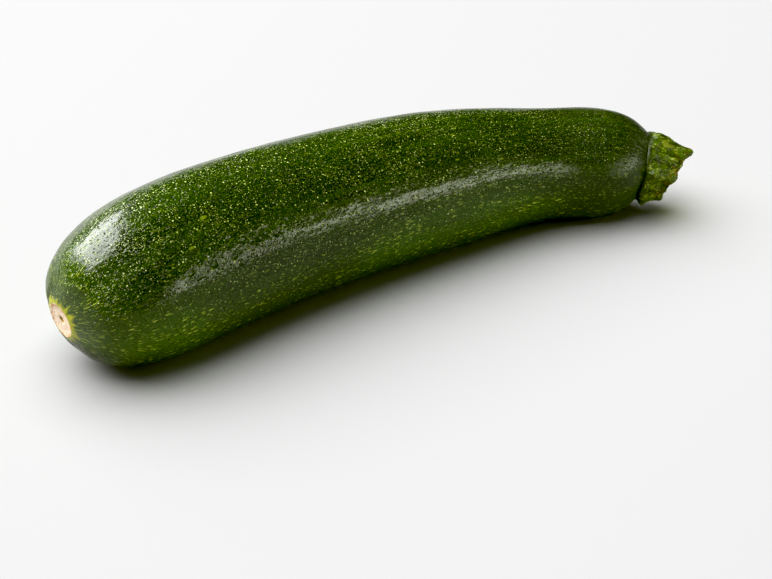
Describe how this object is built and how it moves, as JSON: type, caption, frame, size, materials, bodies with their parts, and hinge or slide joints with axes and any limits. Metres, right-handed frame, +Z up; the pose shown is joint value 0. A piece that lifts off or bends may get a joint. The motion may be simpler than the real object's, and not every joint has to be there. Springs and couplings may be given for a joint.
{
  "type": "courgette",
  "caption": "Whole dark green courgette as picked, lying on its side and gently curved, with a pale blossom scar at one end and a ribbed, cut green stalk at the other.",
  "frame": {"origin": "under the middle of the bounding box, on the surface that the courgette lies on", "axes": "+X from the blossom end to the stalk, +Z up, -Y the side that the neck turns to"},
  "size_m": [0.2076, 0.0592, 0.047],
  "materials": {
    "skin": "glossy dark green skin with fine pale speckles",
    "stalk": "satin knobbly green stalk, pale where it is cut"
  },
  "bodies": {
    "root": {"fruit": "skin", "stalk": "stalk"}
  },
  "joints": []
}
